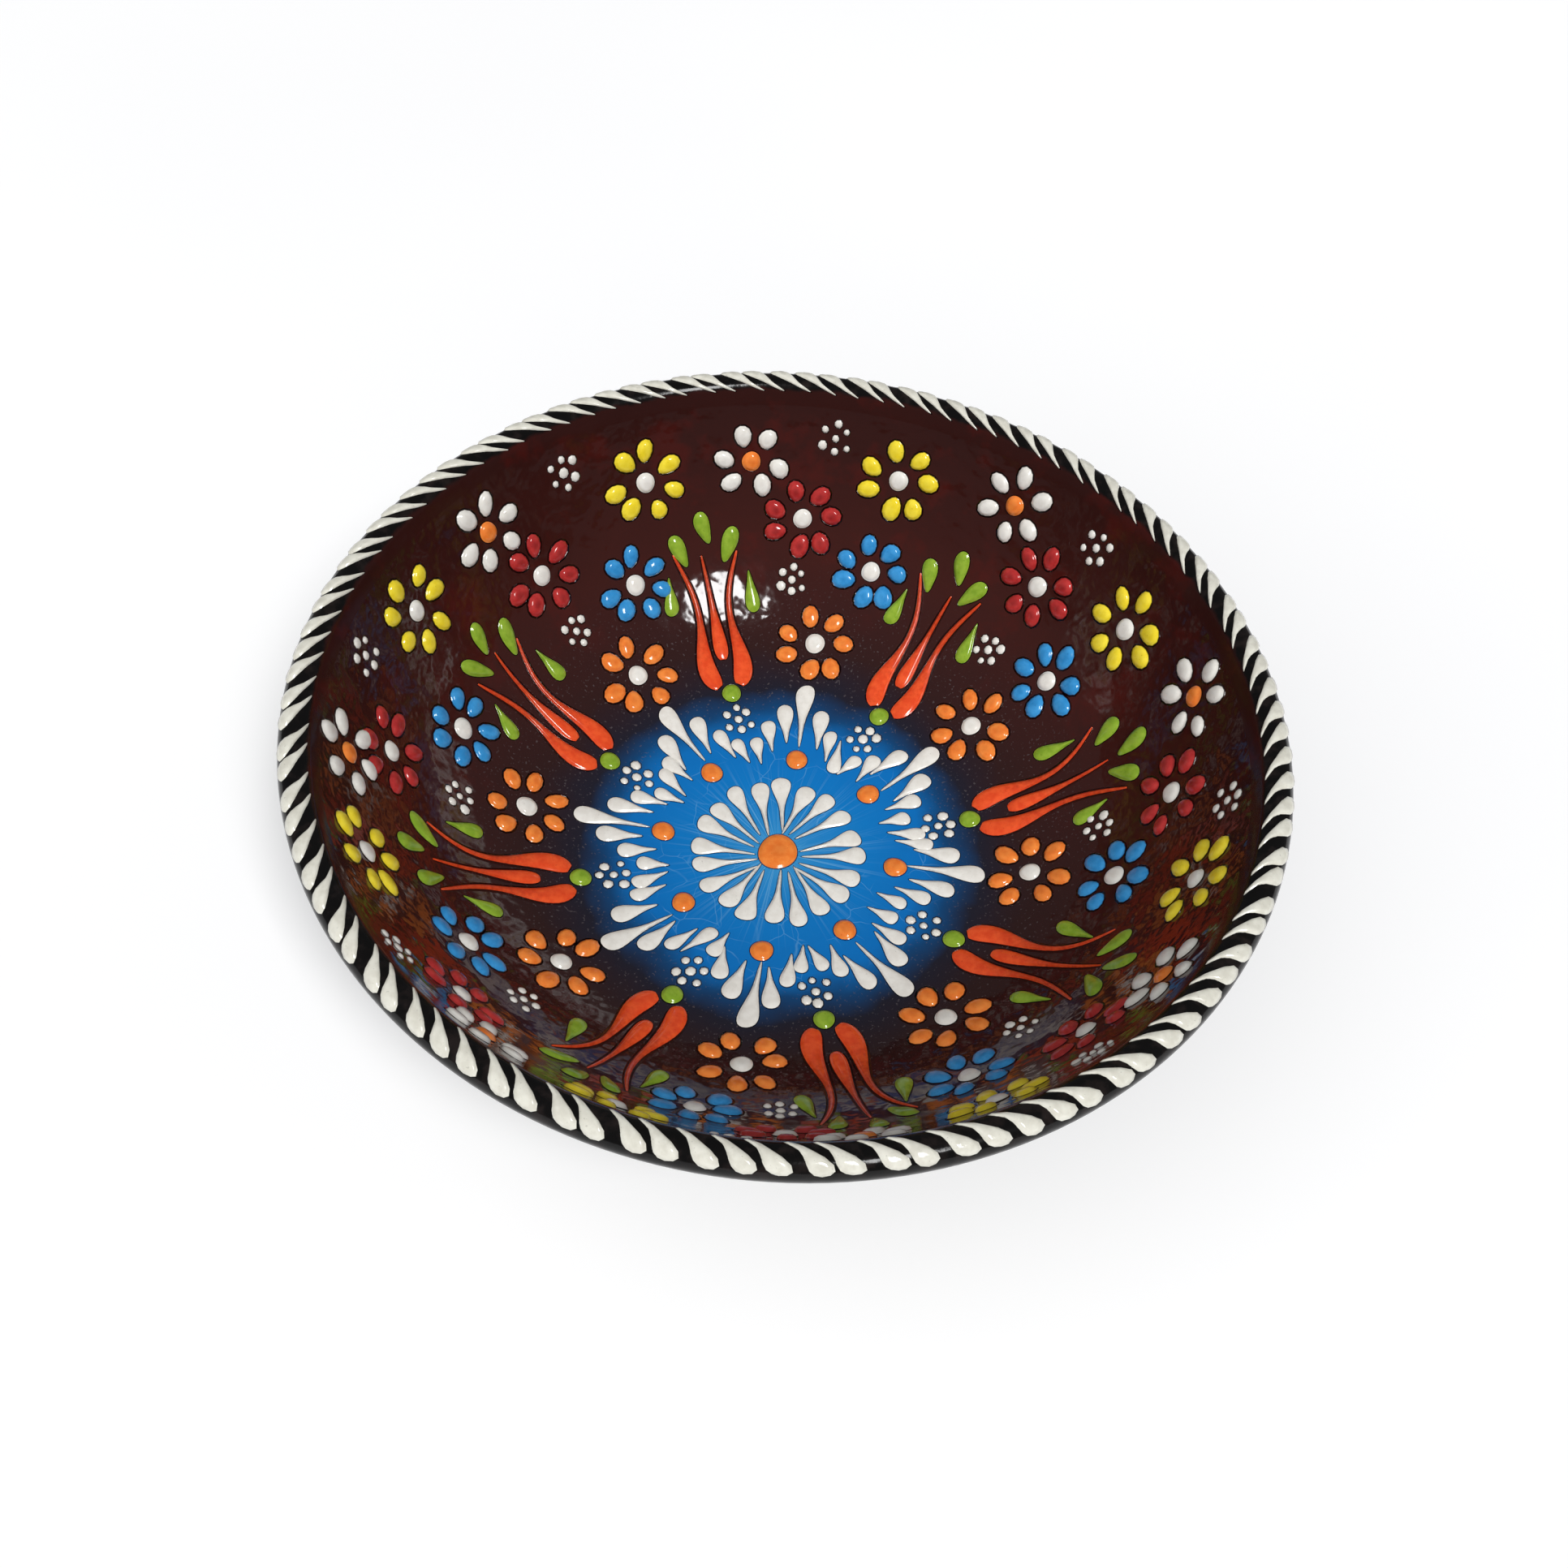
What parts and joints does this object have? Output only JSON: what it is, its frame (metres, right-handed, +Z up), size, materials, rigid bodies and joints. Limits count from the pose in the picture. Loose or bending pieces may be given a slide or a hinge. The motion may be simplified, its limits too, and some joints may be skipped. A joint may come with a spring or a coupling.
{
  "type": "ceramic bowl",
  "caption": "Round footed ceramic bowl, glazed inside and out, with a twisted rope of slip strokes over the rim and raised slip flowers and tulips around a star medallion.",
  "frame": {"origin": "on the table under the centre of the foot ring", "axes": "+Z up along the bowl's axis; -Y towards the side that the picture is taken from"},
  "size_m": [0.16, 0.16, 0.0587],
  "materials": {
    "bare_clay": "matte",
    "inside_glaze": "gloss",
    "outside_glaze": "gloss",
    "black_slip": "gloss",
    "white_slip": "gloss",
    "orange_slip": "gloss",
    "scarlet_slip": "gloss",
    "crimson_slip": "gloss",
    "blue_slip": "gloss",
    "yellow_slip": "gloss",
    "green_slip": "gloss"
  },
  "bodies": {
    "root": {"clay_body": "bare_clay", "inside_glaze": "inside_glaze", "outside_glaze": "outside_glaze", "rim_slip_band": "black_slip", "rim_rope_strokes": "white_slip", "medallion_boss": "orange_slip", "rosette_strokes": "white_slip", "medallion_dots": "orange_slip", "star_long_rays": "white_slip", "star_short_rays": "white_slip", "tulip_outer_petals": "scarlet_slip", "tulip_inner_petals": "scarlet_slip", "tulip_bases": "green_slip", "tulip_side_leaves": "green_slip", "tulip_crown_leaves": "green_slip", "orange_flower_petals": "orange_slip", "orange_flower_eyes": "white_slip", "blue_flower_petals": "blue_slip", "blue_flower_eyes": "white_slip", "red_flower_petals": "crimson_slip", "red_flower_eyes": "white_slip", "yellow_flower_petals": "yellow_slip", "yellow_flower_eyes": "white_slip", "white_flower_petals": "white_slip", "white_flower_eyes": "orange_slip", "inner_seed_dots": "white_slip", "middle_seed_dots": "white_slip", "upper_seed_dots": "white_slip"}
  },
  "joints": []
}
